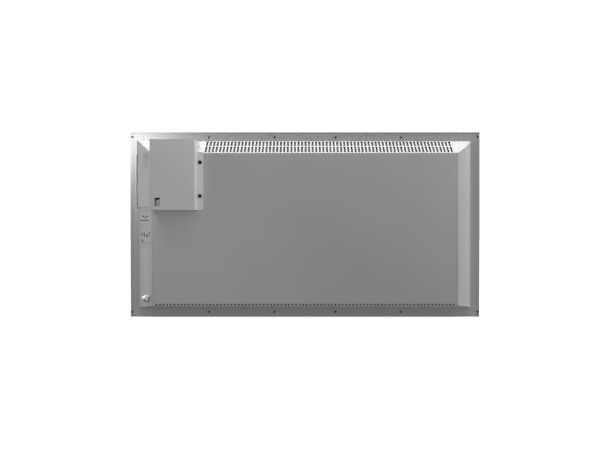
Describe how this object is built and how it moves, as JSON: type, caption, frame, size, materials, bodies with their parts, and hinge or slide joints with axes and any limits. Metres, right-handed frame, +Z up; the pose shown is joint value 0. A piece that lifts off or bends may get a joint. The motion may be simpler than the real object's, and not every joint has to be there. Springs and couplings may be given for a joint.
{
  "type": "led panel light",
  "caption": "Rectangular ventilated LED panel light with a dished sheet-steel back, a slim bezel, an opal diffuser and a hinged driver cover at one corner of the back.",
  "frame": {"origin": "centre of the bounding box of the closed panel", "axes": "+X along the long side, to the right when looking at the back; +Z up; +Y is the direction the light leaves, so the back with the driver cover faces -Y"},
  "size_m": [1.2, 0.134, 0.634],
  "materials": {
    "white_aluminium": "satin white powder coat on extruded aluminium",
    "white_steel": "satin white powder coat on folded sheet steel",
    "opal_acrylic": "opal, finely matt",
    "grey_foam": "closed-cell foam",
    "white_film": "matt reflective film",
    "led_board": "white solder mask on aluminium",
    "zinc_plated": "bright zinc plate",
    "die_cast": "as cast",
    "black_oxide": "black oxide, semi-matt",
    "nickel_brass": "nickel plated",
    "black_rubber": "matt",
    "grey_polyamide": "moulded, matt",
    "polycarbonate": "moulded, satin",
    "label_film": "printed polyester film",
    "brown_pvc": "satin",
    "blue_pvc": "satin",
    "green_pvc": "satin",
    "red_pvc": "satin",
    "black_pvc": "satin",
    "grey_pvc": "satin"
  },
  "bodies": {
    "panel": {"bezel_top": "white_aluminium", "bezel_bottom": "white_aluminium", "bezel_left": "white_aluminium", "bezel_right": "white_aluminium", "corner_key_top_left": "die_cast", "corner_key_top_right": "die_cast", "corner_key_bottom_left": "die_cast", "corner_key_bottom_right": "die_cast", "corner_screw_top_left": "zinc_plated", "corner_screw_top_right": "zinc_plated", "corner_screw_bottom_left": "zinc_plated", "corner_screw_bottom_right": "zinc_plated", "flange_screw_top_1": "zinc_plated", "flange_screw_top_2": "zinc_plated", "flange_screw_top_3": "zinc_plated", "flange_screw_top_4": "zinc_plated", "flange_screw_bottom_1": "zinc_plated", "flange_screw_bottom_2": "zinc_plated", "flange_screw_bottom_3": "zinc_plated", "flange_screw_bottom_4": "zinc_plated", "diffuser": "opal_acrylic", "diffuser_gasket": "grey_foam", "back_pan": "white_steel", "reflector_film": "white_film", "led_strip_1": "led_board", "led_strip_2": "led_board", "led_strip_3": "led_board", "led_strip_4": "led_board", "led_strip_5": "led_board", "led_strip_6": "led_board", "driver_tray": "zinc_plated", "tray_screw_upper": "zinc_plated", "tray_screw_lower": "zinc_plated", "led_driver_1": "polycarbonate", "led_driver_2": "polycarbonate", "terminal_block": "polycarbonate", "wire_grommet": "black_rubber", "mains_cable": "grey_pvc", "wire_live": "brown_pvc", "wire_neutral": "blue_pvc", "wire_earth": "green_pvc", "led_wire_positive": "red_pvc", "led_wire_negative": "black_pvc", "hinge_leaf": "zinc_plated", "hinge_pin": "zinc_plated", "cable_gland_body": "nickel_brass", "cable_gland_dome_nut": "nickel_brass", "cable_gland_locknut": "nickel_brass", "earth_stud": "nickel_brass", "earth_nut": "nickel_brass", "cable_gland_seal": "black_rubber", "earth_washer": "zinc_plated", "rating_label": "label_film"},
    "driver_cover": {"driver_cover": "white_steel", "strain_relief": "grey_polyamide", "cover_label": "label_film"},
    "cover_fastener_upper": {"cover_fastener_upper": "black_oxide"},
    "cover_fastener_lower": {"cover_fastener_lower": "black_oxide"}
  },
  "joints": [
    {"name": "cover_hinge", "type": "hinge", "parent": "panel", "child": "driver_cover", "pos_m": [-0.5775, 0.0486, 0.151], "axis": [0, 0, -1], "range_deg": [0, 95]},
    {"name": "fastener_upper_turn", "type": "hinge", "parent": "driver_cover", "child": "cover_fastener_upper", "pos_m": [-0.352, -0.0106, 0.208], "axis": [0, -1, 0], "range_deg": [0, 90]},
    {"name": "fastener_lower_turn", "type": "hinge", "parent": "driver_cover", "child": "cover_fastener_lower", "pos_m": [-0.352, -0.0106, 0.0952], "axis": [0, -1, 0], "range_deg": [0, 90]}
  ]
}
